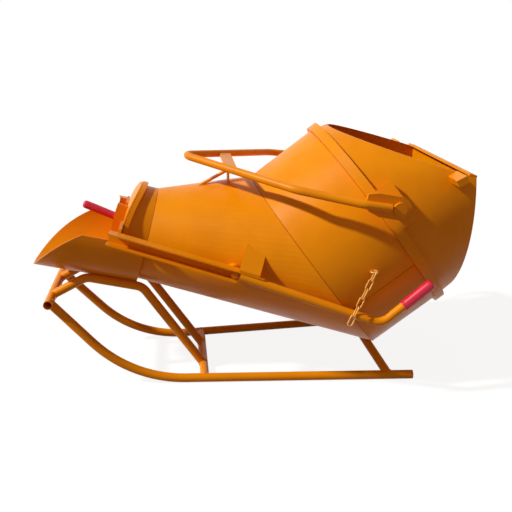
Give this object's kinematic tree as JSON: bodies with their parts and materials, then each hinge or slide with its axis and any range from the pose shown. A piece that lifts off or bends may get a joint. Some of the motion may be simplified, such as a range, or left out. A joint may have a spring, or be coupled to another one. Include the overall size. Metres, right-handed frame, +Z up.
{
  "type": "concrete bucket",
  "caption": "Lay-down concrete bucket: leaning drum with tapered spout, chute and hand-levered sector gate, on a tubular sledge, with a folding lifting bail.",
  "frame": {"origin": "on the ground, under the middle of the part's length and width", "axes": "+X from the chute to the drum, +Y away from the side with the lever, +Z up"},
  "size_m": [1.932, 1.148, 1.1462],
  "materials": {
    "orange_paint": "gloss",
    "red_grip": "gloss",
    "yellow_zinc": "satin"
  },
  "bodies": {
    "bucket": {"spout_cone": "orange_paint", "spout_collar": "orange_paint", "gate_flange": "orange_paint", "discharge_chute": "orange_paint", "drum_shell": "orange_paint", "drum_rear_shell": "orange_paint", "back_plate": "orange_paint", "back_plate_bar": "orange_paint", "drum_strap": "orange_paint", "trunnion_pads": "orange_paint", "trunnion_bosses": "orange_paint", "trunnion_pins": "orange_paint", "bail_rest_post": "orange_paint", "bail_rest_brace": "orange_paint", "bail_stop_lugs": "orange_paint", "gate_pivot_bosses": "orange_paint", "gate_pivot_pins": "orange_paint", "gate_pivot_nuts": "orange_paint", "gate_stop": "orange_paint", "chain_eye": "yellow_zinc", "runner_left": "orange_paint", "runner_right": "orange_paint", "front_cross_tube": "orange_paint", "middle_cross_tube": "orange_paint", "rail_left": "orange_paint", "rail_right": "orange_paint", "rear_leg_left": "orange_paint", "rear_leg_right": "orange_paint"},
    "bail": {"bail_bow": "orange_paint", "bail_end_plates": "orange_paint", "bail_cross_plate": "orange_paint"},
    "gate": {"gate_skin": "orange_paint", "gate_rib": "orange_paint", "gate_brackets": "orange_paint", "gate_arm_left": "orange_paint", "gate_arm_right": "orange_paint", "gate_pivot_bushes": "orange_paint", "gate_lever": "orange_paint", "lever_grip": "red_grip", "gate_handle": "orange_paint", "handle_grip": "red_grip"},
    "chain": {"safety_chain": "yellow_zinc"}
  },
  "joints": [
    {"name": "bail_swing", "type": "hinge", "parent": "bucket", "child": "bail", "pos_m": [0.59535, 0, 0.875], "axis": [0, 1, 0], "range_deg": [0, 143]},
    {"name": "gate_swing", "type": "hinge", "parent": "bucket", "child": "gate", "pos_m": [-0.06165, 0, 0.576], "axis": [0, 1, 0], "range_deg": [0, 36]},
    {"name": "chain_swing", "type": "hinge", "parent": "bucket", "child": "chain", "pos_m": [0.51398, -0.52349, 0.59832], "axis": [-1, 0, 0], "range_deg": [0, 42]}
  ]
}
